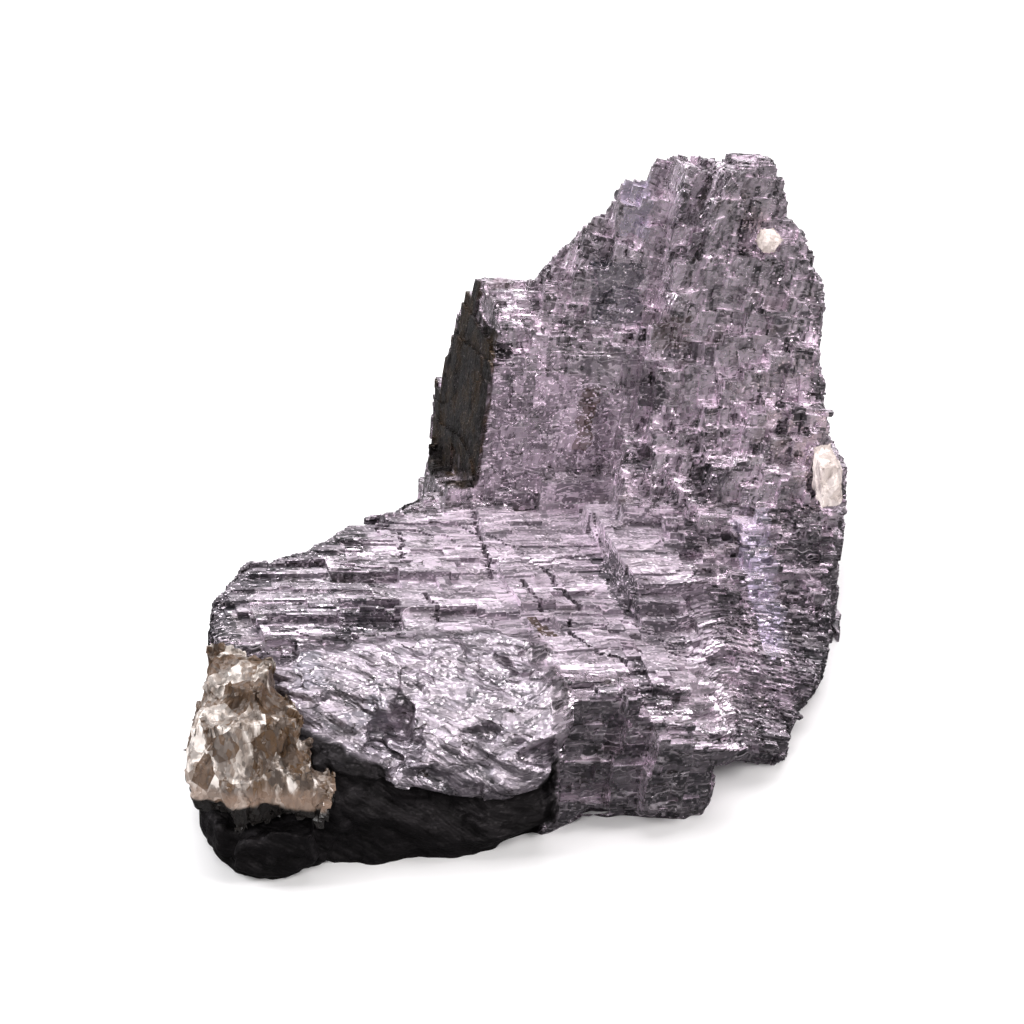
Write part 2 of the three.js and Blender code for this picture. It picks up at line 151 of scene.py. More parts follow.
class Wire:
    """A socket in a material, with Python's arithmetic made of Math nodes."""

    def __init__(self, tree, socket=None):
        self.tree = tree
        self.socket = socket

    def make(self, kind, settings=None, sockets=None, out=0):
        """Any node: its settings first, then what its sockets hold or are linked to."""
        node = self.tree.nodes.new(kind)
        for name, value in (settings or {}).items():
            setattr(node, name, value)
        for key, value in (sockets or {}).items():
            if isinstance(value, Wire):
                self.tree.links.new(value.socket, node.inputs[key])
            else:
                node.inputs[key].default_value = value
        return Wire(self.tree, node.outputs[out])

    def also(self, out):
        """Another socket of the same node."""
        return Wire(self.tree, self.socket.node.outputs[out])

    def math(self, operation, *values):
        return self.make("ShaderNodeMath", {"operation": operation}, dict(enumerate(values)))

    def vector(self, operation, *values, out=0):
        sockets = dict(enumerate(values))
        return self.make("ShaderNodeVectorMath", {"operation": operation}, sockets, out)

    def __add__(self, other):
        return self.math("ADD", self, other)

    def __sub__(self, other):
        return self.math("SUBTRACT", self, other)

    def __rsub__(self, other):
        return self.math("SUBTRACT", other, self)

    def __mul__(self, other):
        return self.math("MULTIPLY", self, other)

    __radd__ = __add__
    __rmul__ = __mul__

    def most(self, other):
        """The larger of two values."""
        return self.math("MAXIMUM", self, other)

    def parts(self):
        """The three numbers of a place."""
        first = self.make("ShaderNodeSeparateXYZ", None, {0: self})
        return first, first.also(1), first.also(2)

    def between(self, low, high):
        """0 up to low, 1 from high on, smooth between."""
        sockets = {"Value": self, "From Min": low, "From Max": high}
        return self.make("ShaderNodeMapRange", {"interpolation_type": "SMOOTHSTEP"}, sockets)

    def blend(self, start, end):
        """A colour from start to end as this goes from 0 to 1."""
        return self.make("ShaderNodeMix", {"data_type": "RGBA"}, {0: self, 6: start, 7: end}, 2)

    def either(self, start, end):
        """A place from start to end as this goes from 0 to 1."""
        sockets = {0: self, 4: start, 5: end}
        return self.make("ShaderNodeMix", {"data_type": "VECTOR"}, sockets, 1)

    def noise(self, scale, detail):
        sockets = {"Vector": self, "Scale": scale, "Detail": detail}
        return self.make("ShaderNodeTexNoise", None, sockets)

    def scaled(self, x, y, z):
        return self.vector("MULTIPLY", self, (x, y, z))

    def astray(self, scale, reach):
        """The place moved about softly, so that what is read there loses its straight lines."""
        stray = self.noise(scale, 1)
        return stray.vector("MULTIPLY_ADD", stray, (reach, reach, reach), self)

    def crystals(self):
        """Height of tipped facets about one unit across, and a chance for each."""
        chance = self.make("ShaderNodeTexVoronoi", None, {"Vector": self, "Scale": 1}, 1)
        away = self.vector("SUBTRACT", self, chance.also(2))
        tip = self.vector("SUBTRACT", chance, (0.5, 0.5, 0.5))
        return self.vector("DOT_PRODUCT", away, tip, out=1), chance.parts()[0]

    def blocks(self, x, y, z):
        """Height of blocks of this size, each tipped its own way, and a chance for each."""
        cells = self.vector("DIVIDE", self, (x, y, z))
        corner = cells.vector("FLOOR", cells)
        chance = self.make("ShaderNodeTexWhiteNoise", None, {"Vector": corner}, 1)
        away = cells.vector("FRACTION", cells)
        away = away.vector("SUBTRACT", away, (0.5, 0.5, 0.5))
        tip = chance.vector("SUBTRACT", chance, (0.5, 0.5, 0.5))
        return away.vector("DOT_PRODUCT", away, tip, out=1), chance.also(0)

    def outside(self, low, high, edge=0):
        """0 inside a box of places and 1 or more outside, or 1 outside with a soft edge."""
        middle = [(a + b) / 2 for a, b in zip(low, high)]
        half = [(b - a) / 2 for a, b in zip(low, high)]
        away = self.vector("SUBTRACT", self, middle)
        if not edge:
            away = away.vector("DIVIDE", away, half)
            away = away.vector("FLOOR", away.vector("ABSOLUTE", away))
            return away.vector("DOT_PRODUCT", away, (1, 1, 1), out=1)
        away = away.vector("ABSOLUTE", away)
        x, y, z = away.vector("SUBTRACT", away, half).parts()
        return x.most(y).most(z).between(-edge, edge)

    def ledges(self):
        """Where this value passes a whole number: its step, a thin lip above, a foot below."""
        part = self.math("FRACT", self)
        return self - part, part.between(0.8, 0.92), 1 - part.between(0.03, 0.1)


def new_finish(name):
    finish = bpy.data.materials.new(name)
    finish.use_nodes = True
    return finish, finish.node_tree.nodes["Principled BSDF"], Wire(finish.node_tree)


def connect(shader, name, wire):
    wire.tree.links.new(wire.socket, shader.inputs[name])


# Calcite is white where it is clean. Clay and rust have soaked into its splits. The crust's
# lower lip is a smooth, cloudy beige and its foot is painted black, as painted shade under the
# foot's lip. Sizes here are in millimetres.
WHITE = (0.98, 0.9, 0.84, 1)
PINKISH = (0.95, 0.84, 0.8, 1)
SMOKY = (0.15, 0.1, 0.07, 1)
RUST = (0.11, 0.065, 0.035, 1)
CLAY = (0.075, 0.056, 0.046, 1)
BEIGE = (0.3, 0.21, 0.16, 1)
SHADE_BLACK = (0.015, 0.013, 0.012, 1)
CRUST_RIGHT = -30  # the two clean grains lie to the right of this
LIP_TOP = 22
LIP_FOOT = 18
spar, shader, wire = new_finish("calcite_spar")
place = wire.make("ShaderNodeTexCoord", out=3).scaled(1000, 1000, 1000)
x, _, z = place.astray(0.3, 2).parts()
blades, blade_chance = place.scaled(0.35, 0.35, 0.18).crystals()
flecks, fleck_chance = place.scaled(1.2, 1.2, 0.6).crystals()
streaks = place.scaled(0.6, 0.6, 0.2).noise(1.0, 4)
in_crust = (CRUST_RIGHT - x).between(0, 3)
clean = (x - CRUST_RIGHT).between(0, 3)
rust = (x * 0.09 + 5.0).between(0, 1) * in_crust * streaks.between(0.34, 0.5)
clay = (streaks * 0.8 + fleck_chance * 0.25).between(0.48, 0.6) * (1 - clean)
lip = (LIP_TOP - z).between(-1, 2)
# Painted shade: the crust's foot below the lip is painted black.
foot = (LIP_FOOT - z).between(-0.5, 0.5) * in_crust
colour = (blade_chance * 0.7 + fleck_chance * 0.3).between(0.25, 0.75).blend(SMOKY, WHITE)
colour = (clean * 0.6).blend(colour, PINKISH)
colour = (rust * 0.9).blend(colour, RUST)
colour = (clay * 0.68).blend(colour, CLAY)
colour = (lip * 0.75).blend(colour, BEIGE)
colour = foot.blend(colour, SHADE_BLACK)
height = blades * 3.5 + flecks * 0.7 + streaks * 0.4
bump = wire.make("ShaderNodeBump", None, {"Distance": MM, "Height": height})
connect(shader, "Base Color", colour)
connect(shader, "Roughness", 0.2 + 0.3 * fleck_chance)
connect(shader, "Normal", bump)
for piece in (crust, edge_grain, crest_grain):
    piece.data.materials.clear()
    piece.data.materials.append(spar)

# --- The galena --------------------------------------------------------------------------
# One metallic mass of lead sulphide, broken along three cleavage planes at right angles.
# The solid gives its main blocks. They are split here into ever finer cleavage blocks that
# slip a little past each other, in the crystal's own axes, which bend where the crystal does.
INNER_CORNER = Vector((-2.448, 20.483, 24.5)) * MM  # where the slab meets the foot
TURN = Euler((radians(-3), radians(9), radians(15)))
CRYSTAL = Matrix.LocRotScale(INNER_CORNER, TURN, (MM, MM, MM))
CELL = 0.5  # the finest block, in millimetres
LOW = np.array([-78, -84, -42])  # the crystal-axis box that holds the mass
HIGH = np.array([72, 44, 80])
SHAPE = ((HIGH - LOW) / CELL).astype(int)


def rise(values, start, length):
    """0 before start, 1 from start + length on, smooth between."""
    t = np.clip((values - start) / length, 0, 1)
    return t * t * (3 - 2 * t)


def bent(places):
    """Where the mass holds what its straight crystal holds at these places."""
    x, y, z = places[..., 0], places[..., 1], places[..., 2]
    out = places.copy()
    # The upper slab, the foot's front and the toe are each turned further, about a place of
    # their own.
    upper = radians(8) * rise(z, 42, 10) * (1 - rise(x, 22, 12))
    front = radians(11) * rise(-y, 48, 14) * (1 - rise(x, -20, 10))
    toe = radians(12) * rise(x, 18, 10) * rise(-y, 30, 16)
    for turn, px, pz in ((upper, 5, 45), (front, -38, -6), (toe, 42, -10)):
        out[..., 0] += turn * (z - pz)
        out[..., 2] -= turn * (x - px)
    # The planes themselves are a little wavy.
    out[..., 0] += 0.5 * np.sin(z / 9 + y / 14) + 0.3 * np.sin(z / 4.1 + 2)
    out[..., 1] += 0.5 * np.sin(x / 10 + z / 12 + 1)
    out[..., 2] += 0.6 * np.sin(x / 12 + 1.5) * np.sin(y / 11) + 0.25 * np.sin(y / 4.7 + x / 15)
    return out


def straight_fill(piece):
    """The cells of the straight grid that a piece holds, going on down through the floor."""
    to_crystal = CRYSTAL.inverted()
    tree = BVHTree.FromPolygons(
        [to_crystal @ v.co for v in piece.data.vertices],
        [p.vertices for p in piece.data.polygons],
    )
    filled = np.zeros(SHAPE, bool)
    up = Vector((0, 0, 1))
    for i in range(SHAPE[0]):
        x = LOW[0] + (i + 0.54) * CELL
        for j in range(SHAPE[1]):
            start = Vector((x, LOW[1] + (j + 0.46) * CELL, LOW[2] - 1))
            entered = None
            while True:
                place, normal, _, _ = tree.ray_cast(start, up)
                if place is None:
                    break
                if normal.z < 0:
                    at_floor = (CRYSTAL @ place).z < 0.3 * MM
                    entered = place.z - (4 if at_floor else 0)
                elif entered is not None:
                    bottom, top = (round((z - LOW[2]) / CELL) for z in (entered, place.z))
                    filled[i, j, max(0, bottom) : top] = True
                    entered = None
                start = place + up * 1e-4
    return filled


centres = [LOW[a] + (np.arange(SHAPE[a]) + 0.5) * CELL for a in range(3)]
grid = np.stack(np.meshgrid(*centres, indexing="ij"), axis=-1).astype(np.float32)
real = bent(grid)
look = np.rint((real - LOW) / CELL - 0.5).astype(np.int32)
inside = np.all((look >= 0) & (look < SHAPE), axis=-1)
look = np.clip(look, 0, SHAPE - 1)
del grid


def bent_fill(piece):
    return straight_fill(piece)[look[..., 0], look[..., 1], look[..., 2]] & inside


def shifted(cells, axis, step):
    out = np.roll(cells, step, axis)
    edge = [slice(None)] * 3
    edge[axis] = 0 if step > 0 else -1
    out[tuple(edge)] = False
    return out


mass = bent_fill(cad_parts["galena_mass"])
calcite_seat = bent_fill(crust) | bent_fill(edge_grain) | bent_fill(crest_grain)
del look, inside

# Blocks that slip outwards add to the outline, so the mass starts one cell smaller, but for
# its right side.
mass |= calcite_seat
for axis, step in ((0, 1), (1, 1), (1, -1), (2, 1), (2, -1)):
    mass &= shifted(mass, axis, step)

# The foot's front ends in a sharp lip. Below it the old broken base is hollowed back, most
# just under the lip.
LIP_X = (-62, -58, -50, -38, -27, -19, -15, -11)
LIP_Y = (-69, -70, -72, -74.5, -75.2, -77.2, -77.4, -75)
LIP_Z = (-9, -11.5, -16, -18, -20.5, -19.5, -15.5, -7)
HOLLOW_HEIGHT = 11
HOLLOW_DEPTH = 5.5
x, y, z = (real[..., a] for a in range(3))
under = (np.interp(x, LIP_X, LIP_Z) - z) / HOLLOW_HEIGHT
reach = np.interp(x, LIP_X, LIP_Y) + HOLLOW_DEPTH * (1 - under)
mass &= ~((under > 0) & (under < 1) & (y < reach) & (x > -66) & (x < -10.5))
del real, under, reach


def grain(place):
    """The size of the cleavage blocks at a place, in cells, and the share of them that slip."""
    x, y, z = place
    if x < -8 and y > 0 and z > 3:
        return (30, 40, 40), 0.03  # the dark end
    if y > 20 or z < -22:
        return (12, 10, 12), 0.3  # the back and the base
    if x > 22 and y > -40:
        return (6, 4, 7), 0.26  # the flank
    if x > 22:
        return (14, 4, 3), 0.2  # the toe
    if z > 46:
        return (6, 5, 9), 0.16  # the upper slab
    if y > -2 and z > 33:
        return (6, 5, 8), 0.22  # the broken rim above the panel
    if y > -2:
        return (14, 12, 24), 0.08  # the panel
    if x < -18 and y < -48:
        return (18, 4, 4), 0.15  # the rounded front
    if y < -66:
        return (14, 10, 14), 0.12  # the front corner
    if x < -26 and y < -20:
        return (24, 5, 3), 0.27  # the left of the plateau
    return (26, 7, 4), 0.14  # the plateau


MARGIN = 5  # the cells round the outside that stay empty
MOST_SLIP = 2  # the cells that a block slips at most
draw = np.random.default_rng(7)
cleaved = mass.copy()


def cleave(low, high, slip):
    """Splits a box of cells in two until its blocks are small, each half slipping on."""
    around = mass[tuple(slice(max(0, l - MARGIN), h + MARGIN) for l, h in zip(low, high))]
    if around.all() or not around.any():
        return
    centre = [LOW[a] + (low[a] + high[a]) / 2 * CELL for a in range(3)]
    size, share = grain(centre)
    ratios = [(high[a] - low[a]) / size[a] for a in range(3)]
    axis = int(np.argmax(ratios))
    if ratios[axis] < draw.uniform(0.7, 2.0) or high[axis] - low[axis] < 2:
        source = tuple(slice(low[a] + slip[a], high[a] + slip[a]) for a in range(3))
        cleaved[tuple(slice(low[a], high[a]) for a in range(3))] = mass[source]
        return
    share *= 1.6 if ratios[axis] > 3 else 0.8  # large halves slip more often
    cut = low[axis] + int(round((high[axis] - low[axis]) * draw.uniform(0.35, 0.65)))
    for part in range(2):
        new_low, new_high, new_slip = list(low), list(high), list(slip)
        if part:
            new_low[axis] = cut
        else:
            new_high[axis] = cut
        for a in range(3):
            if draw.random() < share:
                new_slip[a] += int(draw.integers(-1, 2))
            new_slip[a] = max(-MOST_SLIP, min(MOST_SLIP, new_slip[a]))
        cleave(new_low, new_high, new_slip)


cleave([MARGIN] * 3, [int(n) - MARGIN for n in SHAPE], [0, 0, 0])

# Cracks across the plateau: each runs from place to place, a cell or so wide, and is cut into
# the top a few cells deep. The highest part of the foot is below TOP.
TOP = 12
CRACK_DEPTH = 3
CRACKS = [
    [(-10.6, -2.1), (-12.2, -15.8), (-13.3, -27.4)],
    [(-2.8, -25.6), (-2.1, -30.7), (-2.8, -35.7), (-1.3, -37.2), (-0.4, -41.0)],
    [(-4.0, -46.8), (-5.2, -50.4), (-2.3, -57.3), (3.1, -59.6), (4.1, -65.1), (3.1, -69.2)],
    [(-8.2, -30.6), (-8.5, -37.1), (-7.7, -41.2)],
    [(-28.7, -35.0), (-28.3, -43.9)],
    [(-26.9, -8.3), (-29.8, -22.3)],
]
for crack in CRACKS:
    for (x0, y0), (x1, y1) in zip(crack, crack[1:]):
        for t in np.arange(0, 1, 0.3 / np.hypot(x1 - x0, y1 - y0)):
            i, j = (
                int((a + (b - a) * t + draw.uniform(-0.3, 0.3) - LOW[k]) / CELL)
                for k, (a, b) in enumerate(((x0, x1), (y0, y1)))
            )
            level = np.nonzero(cleaved[i, j, : int((TOP - LOW[2]) / CELL)])[0].max()
            cleaved[i : i + 2, j, level - CRACK_DEPTH : level + CRACK_DEPTH] = False


for axis in range(3):
    calcite_seat |= shifted(calcite_seat, axis, 1) | shifted(calcite_seat, axis, -1)
cleaved &= ~calcite_seat

# Single cells that stick out or are missing are crumbs, not cleavage.
for _ in range(2):
    beside = sum(shifted(cleaved, a, s).astype(np.int8) for a in range(3) for s in (1, -1))
    cleaved = (cleaved & (beside > 1)) | (beside > 4)

# Two cells that meet only along an edge would leave the skin open there, so one between them
# is filled. Each filled cell can make another such meeting.
for _ in range(12):
    added = 0
    for a, b in ((0, 1), (0, 2), (1, 2)):
        c = cleaved.transpose((a, b, 3 - a - b))
        here, across = c[:-1, :-1], c[1:, 1:]
        right, ahead = c[1:, :-1], c[:-1, 1:]
        first = here & across & ~right & ~ahead
        second = right & ahead & ~here & ~across
        right |= first
        here |= second
        added += int(first.sum() + second.sum())
    if not added:
        break


def skin(cells):
    """Corner places and the outward squares between filled and empty cells."""
    padded = np.pad(cells, 1)
    corners = np.array(padded.shape) + 1
    squares = []
    for axis in range(3):
        u, v = (axis + 1) % 3, (axis + 2) % 3
        step = np.diff(padded.astype(np.int8), axis=axis)
        for sign in (-1, 1):
            base = np.argwhere(step == sign)
            base[:, axis] += 1
            ring = []
            for du, dv in ((0, 0), (1, 0), (1, 1), (0, 1)):
                corner = base.copy()
                corner[:, u] += du
                corner[:, v] += dv
                ring.append(np.ravel_multi_index(corner.T, corners))
            squares.append(np.stack(ring if sign < 0 else ring[::-1], axis=1))
    squares = np.concatenate(squares)
    used, index = np.unique(squares, return_inverse=True)
    places = np.stack(np.unravel_index(used, corners), axis=1)
    return (places - 1) * CELL + LOW, index.reshape(-1, 4)


def eased(places, squares, share, rounds):
    """Draws each corner towards the middle of its neighbours, by its own share."""
    ends = np.concatenate([squares[:, [i, (i + 1) % 4]] for i in range(4)])
    count = np.bincount(ends[:, 0], minlength=len(places))
    for _ in range(rounds):
        middle = np.stack(
            [np.bincount(ends[:, 0], places[ends[:, 1], a], len(places)) for a in range(3)],
            axis=1,
        )
        places = places + (middle / count[:, None] - places) * share[:, None]
    return places


def outward(places, squares):
    """The direction that each corner faces."""
    a, b, c, d = (places[squares[:, i]] for i in range(4))
    facing = np.cross(c - a, d - b)
    total = np.zeros_like(places)
    for i in range(4):
        for axis in range(3):
            total[:, axis] += np.bincount(squares[:, i], facing[:, axis], len(places))
    return total / np.linalg.norm(total, axis=1, keepdims=True).clip(1e-9)


def clouds(places, size, seed):
    """Soft noise from -1 to 1 that varies over the given size along each axis."""
    spot = places / size
    cell = np.floor(spot).astype(int)
    part = rise(spot - cell, 0, 1)
    table = np.random.default_rng(seed).uniform(-1, 1, 4093)
    total = np.zeros(len(places))
    for corner in np.ndindex(2, 2, 2):
        at = cell + corner
        value = table[(at[:, 0] * 157 + at[:, 1] * 1579 + at[:, 2] * 2851) % 4093]
        total += value * np.prod(np.where(corner, part, 1 - part), axis=1)
    return total


# The rounded front of the foot is furrowed, and the old base below it is an uneven fracture.
places, squares = skin(cleaved)
x, y, z = bent(places).T
above_lip = z - np.interp(x, LIP_X, LIP_Z)
past_lip = rise(above_lip, -0.5, 1.5)
front = rise(-y, 47, 6) * (1 - rise(x, -12, 4)) * past_lip
base = np.maximum(1 - rise(z, -27, 4), (1 - rise(x, -12, 2)) * (1 - past_lip))
places = eased(places, squares, np.clip(front + base, 0.06, 1) * 0.8, 5)
slanting = places @ np.array([[1, 0.5, 0.3], [0, 1, 0], [0, 0, 1]])
furrows = 0.6 * clouds(slanting, (22, 3.4, 3.4), 1) + 0.2 * clouds(slanting, (8, 1.3, 1.3), 2)
lumps = 0.7 * clouds(places, (5, 5, 5), 3) + 0.4 * clouds(places, (1.9, 1.9, 1.9), 4)
drawn_in = (1 - rise(x, -71, 5)) * rise(z, -26, 5)  # behind the calcite's overhang
swell = front * furrows + base * lumps - drawn_in
places = places + outward(places, squares) * swell[:, None]

mesh = bpy.data.meshes.new("galena")
mesh.from_pydata(bent(places), [], squares)
grain_axes = mesh.attributes.new("grain", "FLOAT_VECTOR", "POINT")
grain_axes.data.foreach_set("vector", places.ravel())
mesh.transform(CRYSTAL)
galena = bpy.data.objects.new("galena", mesh)
bpy.context.collection.objects.link(galena)

# Splitting leaves a few chips lying loose. The largest body is the specimen.
select_only(galena)
bpy.ops.object.mode_set(mode="EDIT")
bpy.ops.mesh.select_all(action="SELECT")
bpy.ops.mesh.separate(type="LOOSE")
bpy.ops.object.mode_set(mode="OBJECT")
bodies = sorted(bpy.context.selected_objects, key=lambda o: len(o.data.vertices))
galena = bodies.pop()
galena.name = "galena"
for loose_chip in bodies:
    bpy.data.objects.remove(loose_chip)

# The squares that lie flat beside each other are joined, and the specimen is cut level where
# it stands.
FACES = 88000
GROUND = 300 * MM
finish_with(galena, "DECIMATE", ratio=FACES / len(galena.data.polygons))
bpy.ops.mesh.primitive_cube_add(size=GROUND, location=(0, 0, -GROUND / 2))
ground = bpy.context.active_object
finish_with(galena, "BOOLEAN", solver="MANIFOLD", object=ground)
bpy.data.objects.remove(ground)
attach(galena, "root")
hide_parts("galena_mass")

# Fresh cleavage is bright lead grey with a lavender cast. Its plates fall in fine ledges and
# glitter with small facets, and their edges carry painted highlights. The slab's left end is
# tarnished brown black and darkened with painted shade, and the old base is painted nearly
# black as painted shadow.
DEEP_GREY = (0.12, 0.113, 0.12, 1)
LAVENDER = (0.98, 0.85, 0.96, 1)
DULL_BLUE = (0.13, 0.13, 0.145, 1)
DULL_BROWN = (0.15, 0.125, 0.1, 1)
TOP_LIGHT_PAINT = (0.72, 0.63, 0.72, 1)
FURROW_DARK = (0.085, 0.08, 0.09, 1)
FURROW_LIGHT = (0.27, 0.238, 0.275, 1)
RISER_SHADE = (0.07, 0.067, 0.075, 1)
EVEN_GREY = (0.23, 0.205, 0.23, 1)
LEDGE_SHADOW = (0.03, 0.022, 0.02, 1)
GLINT_WHITE = (0.95, 0.86, 0.93, 1)
DARK_TARNISH_AND_SHADE = (0.03, 0.026, 0.023, 1)
TARNISH_BROWN = (0.085, 0.058, 0.035, 1)
BASE_SHADOW = (0.012, 0.011, 0.011, 1)
metal, shader, wire = new_finish("cleaved_galena")
# crystal is a place before the bending and real the same place after it, both in the crystal's
# axes and in millimetres.
crystal = wire.make("ShaderNodeAttribute", {"attribute_name": "grain"}, out=1)
wandering = crystal.astray(0.3, 1.5)
object_place = wire.make("ShaderNodeTexCoord", out=3)
placing = {
    "Vector": object_place,
    "Location": INNER_CORNER,
    "Rotation": TURN,
    "Scale": (MM, MM, MM),
}
real = wire.make("ShaderNodeMapping", {"vector_type": "TEXTURE"}, placing)
stray = wandering.vector("SUBTRACT", wandering, crystal)
real = real.vector("ADD", real, stray)
x, y, z = real.parts()

# The foot's plates lie along it and the slab's stand upright.
upright = (z + y * 0.5 - 1.5).between(0, 0.4)
along = upright.either(wandering, wandering.scaled(2.4, 1, 0.36))
slabs, slab_chance = along.blocks(14, 4, 4)
plates, plate_chance = along.blocks(5.6, 1.5, 1.5)
chips, chip_chance = along.blocks(1.7, 0.5, 0.5)
glitter, glitter_chance = wandering.blocks(0.42, 0.36, 0.36)
furrowed = (-47 - y).between(0, 4) * (-9.5 - x).between(0, 4)
slanting = {
    "Vector": crystal,
    "Rotation": (0, radians(15), radians(-27)),
    "Scale": (14, 1.9, 1.9),
}
furrows = wire.make("ShaderNodeMapping", {"vector_type": "TEXTURE"}, slanting).noise(1.0, 2)
down_slope = wandering.vector("DOT_PRODUCT", wandering, (0, 0.4, 0.4), out=1)
steps, glint_lips, shadow_feet = (down_slope + wandering.scaled(0.08, 0.2, 0.3).noise(1.0, 3) * 5).ledges()
broken = wandering.scaled(0.12, 0.3, 0.3).noise(1.0, 1).between(0.42, 0.55)
height = (
    slabs * 1.4
    + plates * 0.5
    + chips * 0.1
    + glitter * 0.06
    + slab_chance * 0.25
    + plate_chance * 0.14
    + chip_chance * 0.04
    + steps * 0.22
)
height = height * (1 - furrowed * 0.75 + upright * 0.25) + furrowed * furrows * 0.8

# Each block has its own shade, and patches of the whole are duller.
shade = slab_chance * 0.22 + plate_chance * 0.36 + chip_chance * 0.24 + glitter_chance * 0.18
fresh = shade.between(0.22, 0.75).blend(DEEP_GREY, LAVENDER)
dull = crystal.noise(0.08, 2).between(0.5, 0.72) * 0.55
warmth = crystal.noise(0.2, 1).between(0.4, 0.65)
colour = dull.blend(fresh, warmth.blend(DULL_BLUE, DULL_BROWN))

# The plateau of the foot is painted lighter than the rest as painted light on its top, its
# risers are painted darker as painted shade, its furrowed front is duller and darker towards
# its bottom, and the panel of the slab is an even mid grey.
facing = wire.make("ShaderNodeNewGeometry", out=1)
ahead = -CRYSTAL.to_3x3().normalized().col[1]  # where the crystal's front planes face
# Painted shade on the foot's faces that turn to the front.
riser_shade = facing.vector("DOT_PRODUCT", facing, ahead, out=1).between(0.6, 0.85)
riser_shade = riser_shade * (8 - z).between(0, 1) * (-2.5 - y).between(0, 1)
plateau = (1 - real.outside((-34, -62, -6), (27, -1, 8), 2)) * (1 - furrowed)
panel = 1 - real.outside((-8.5, -1.8, 1), (22, 3.5, 33), 0.6)
underside = (-4 - z).between(0, 14)
# Painted light on the plateau's top.
colour = (plateau * 0.35).blend(colour, TOP_LIGHT_PAINT)
furrow_shade = furrows.between(0.35, 0.62).blend(FURROW_DARK, FURROW_LIGHT)
colour = (furrowed * (0.7 + underside * 0.2)).blend(colour, furrow_shade)
colour = (riser_shade * (1 - furrowed) * 0.7).blend(colour, RISER_SHADE)
colour = (panel * 0.55).blend(colour, EVEN_GREY)

# Single marks in it: the painted shade of a pit, stains, plates that are darker or cleaner than
# the rest, and painted shade in gaps between ribs. Each is a box between two corners in the
# crystal's axes, with its strength and its colour.
PIT_SHADE = (0.02, 0.018, 0.018, 1)
BROWN = (0.1, 0.06, 0.03, 1)
DARK = (0.055, 0.053, 0.06, 1)
SLATE = (0.14, 0.14, 0.165, 1)
BLUISH = (0.7, 0.66, 0.8, 1)
CLEAN = (0.92, 0.83, 0.9, 1)
MARKS = [
    # The painted shade of a pit, stains and cleaner plates
    ((-9.5, -1, 31.5), (-4, 6, 36), 0.85, PIT_SHADE),
    ((11.5, -3, 13), (15, 4, 27), 0.6, BROWN),
    ((-9.5, -50.5, -4), (-5.5, -43.5, 3), 0.85, BROWN),
    ((23, -4, 36.3), (30.8, 3, 43.9), 0.35, BROWN),
    ((12, 0, 39), (22, 14, 51), 0.7, SLATE),
    ((17, 2, 56), (22, 16, 68), 0.5, BLUISH),
    ((38, -48, -6), (45, -20, 12), 0.4, BLUISH),
    ((37, -11, 36.5), (50, -5, 39.5), 0.5, CLEAN),
    ((15, -66, -13), (31, -51, -3), 0.35, CLEAN),
    # Dark plates on the flank and the toe
    ((22.5, -9, 24), (26, 1, 31), 0.8, DARK),
    ((23.7, 0, 59), (26, 6, 71), 0.6, DARK),
    ((30.7, -19, 11), (37.5, -12, 18), 0.6, DARK),
    ((42.8, -11, 29), (51, -8.5, 32.5), 0.65, DARK),
    ((41.3, -17, 20.7), (45.5, -12.5, 24.5), 0.65, DARK),
    ((50, -29, 3), (57.7, -20.5, 11), 0.55, DARK),
    ((43, -58, -14), (57, -34, -3.5), 0.6, DARK),
    ((27, -77, -20), (42, -57, -9), 0.5, DARK),
    # Dark plates on the plateau
    ((27, -27, 5), (30.5, -17, 9), 0.6, DARK),
    ((28, -47, -4), (32, -29, 3), 0.4, DARK),
    ((10.6, -42, -1), (13.3, -19, 4.6), 0.75, DARK),
    ((12.8, -50, -5), (21.5, -40.3, 2.6), 0.5, DARK),
    ((7.3, -66, -5), (9.5, -55, -1), 0.7, DARK),
    # Dark plates on the left end of the foot
    ((-54.5, -56, -6), (-49.5, -50.5, 0), 0.5, SLATE),
    ((-46.5, -63.5, -10), (-39, -59.5, -5), 0.45, SLATE),
    ((-54, -70, -17), (-46, -65, -12), 0.45, SLATE),
    ((-72, -46, -6), (-38, -26, 4), 0.25, SLATE),
    # Painted shade in the four gaps under the ribs on the left of the plateau
    ((-45, -34, -6), (-32, -27, 6), 0.5, DARK),
    ((-44, -41, -6), (-36, -37.5, 6), 0.5, DARK),
    ((-45, -45, -6), (-35, -42, 6), 0.55, DARK),
    ((-59, -45, -6), (-46, -42.5, 6), 0.55, DARK),
    # A dark plate at the far left end of the foot
    ((-80, -80, -20), (-63.5, -30, 20), 0.7, DARK),
]
ragged = real.vector("MULTIPLY_ADD", stray, (1.2, 0.6, 0.6), real)
for low, high, share, mark in MARKS:
    colour = (share - ragged.outside(low, high)).blend(colour, mark)
back_edge = (y - x * 0.85).between(14.5, 18) * (-22 - x).between(0, 4) * (3 - z).between(0, 1)
colour = (back_edge * 0.6).blend(colour, DARK)

# Painted shadow lies along the feet of the ledges. Their lips and the smallest facets are
# painted bright, as painted glints.
colour = (shadow_feet * broken * 0.85).blend(colour, LEDGE_SHADOW)
# Painted glints on the ledge lips and on scattered small facets.
glint_spots = glitter_chance.between(0.82, 0.9) * (1 - riser_shade * 0.6) * (1 - furrowed * 0.4)
whole = 1 - broken * (1 - upright * 0.5)
glints = (glint_lips * whole * (0.9 - furrowed * 0.5)).most(glint_spots * 0.85)
colour = glints.blend(colour, GLINT_WHITE)

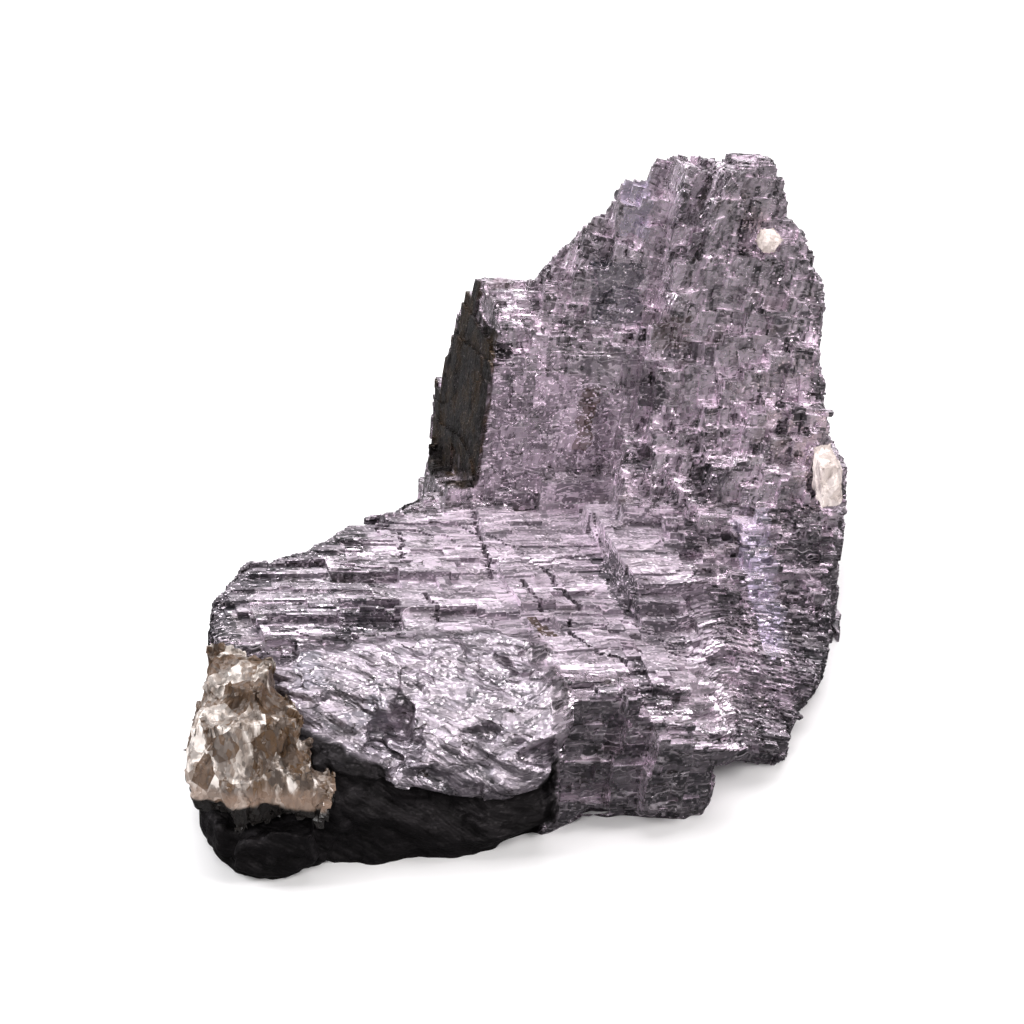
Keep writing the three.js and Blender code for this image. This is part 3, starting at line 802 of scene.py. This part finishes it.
# The left end of the slab, tarnished and darkened with painted shade, and the painted shadow on
# the old base below the foot's lip.
dark_end = (-8.1 - x).between(0, 0.5) * y.between(0.9, 1.8) * (z + y * 0.35).between(4.3, 5.5)
lip = (-27 - x).most(0) * 0.33 + (x + 19.5).most(0) * 1.5 - 20.3
base = (lip - z).between(-0.6, 0.6) * (-10.5 - x).between(0, 1)
base = base.most((-27 - z).between(0, 6))
# The slab's left end gets tarnish and painted shade together, kept lighter on the ledge lips as
# painted glints.
tarnish_and_shade = warmth.blend(DARK_TARNISH_AND_SHADE, TARNISH_BROWN)
colour = (dark_end * (0.96 - glint_lips * whole * 0.12)).blend(colour, tarnish_and_shade)
# Painted shadow: the old base below the foot's lip is painted nearly black.
colour = (base * 0.96).blend(colour, BASE_SHADOW)
bump = wire.make("ShaderNodeBump", None, {"Distance": MM, "Height": height})
connect(shader, "Base Color", colour)
roughness = 0.2 + 0.2 * chip_chance + 0.12 * dull - 0.12 * glint_spots
roughness = roughness + 0.18 * plateau + 0.1 * furrowed + 0.25 * base
connect(shader, "Roughness", roughness)
connect(shader, "Normal", bump)
shader.inputs["Metallic"].default_value = 0.92
galena.data.materials.clear()
galena.data.materials.append(metal)

# --- The surface it stands on, the light and the camera -----------------------------------
# A sheet of white paper, large soft lights above and on all four sides, and a camera that
# looks down at the specimen from the front.
bpy.ops.object.select_all(action="DESELECT")
bpy.ops.mesh.primitive_plane_add(size=6)
floor = bpy.context.active_object
floor.name = "floor"
paper, shader, wire = new_finish("white_paper")
shader.inputs["Base Color"].default_value = (0.9, 0.9, 0.9, 1)
shader.inputs["Roughness"].default_value = 0.8
floor.data.materials.append(paper)
floor.visible_glossy = False

TARGET = Vector((-4.048, -14.917, 45)) * MM
ELEVATION = radians(32)
DISTANCE = 445 * MM


def softbox(name, place, size, power, colour):
    bpy.ops.object.light_add(type="AREA", location=place)
    lamp = bpy.context.active_object
    lamp.name = name
    lamp.data.shape = "RECTANGLE"
    lamp.data.size, lamp.data.size_y = size
    lamp.data.energy = power
    lamp.data.color = colour
    lamp.rotation_euler = (TARGET - lamp.location).to_track_quat("-Z", "Y").to_euler()
    return lamp


softbox("overhead softbox", (0.0, 0.15, 0.75), (0.7, 0.6), 5.4, (1.0, 0.98, 1.0))
softbox("back softbox", (0.15, 0.85, 0.33), (0.9, 0.35), 1.5, (1.0, 0.98, 1.0))
softbox("front softbox", (-0.1, -0.75, 0.75), (0.5, 0.35), 5.2, (1.0, 0.98, 0.97))
softbox("right softbox", (0.75, -0.25, 0.5), (0.3, 0.4), 5.4, (1.0, 0.97, 0.97))
softbox("left softbox", (-0.75, 0.0, 0.5), (0.3, 0.4), 5.5, (0.98, 0.98, 1.0))

world = bpy.context.scene.world or bpy.data.worlds.new("studio")
bpy.context.scene.world = world
world.use_nodes = True
world.node_tree.nodes["Background"].inputs["Color"].default_value = (0.8, 0.78, 0.8, 1)
world.node_tree.nodes["Background"].inputs["Strength"].default_value = 0.18

bpy.ops.object.camera_add(
    location=TARGET + DISTANCE * Vector((0, -cos(ELEVATION), sin(ELEVATION))),
    rotation=(radians(90) - ELEVATION, 0, 0),
)
camera = bpy.context.active_object
camera.data.lens = 85
camera.data.sensor_width = 36
bpy.context.scene.camera = camera
bpy.context.scene.view_settings.view_transform = "Standard"
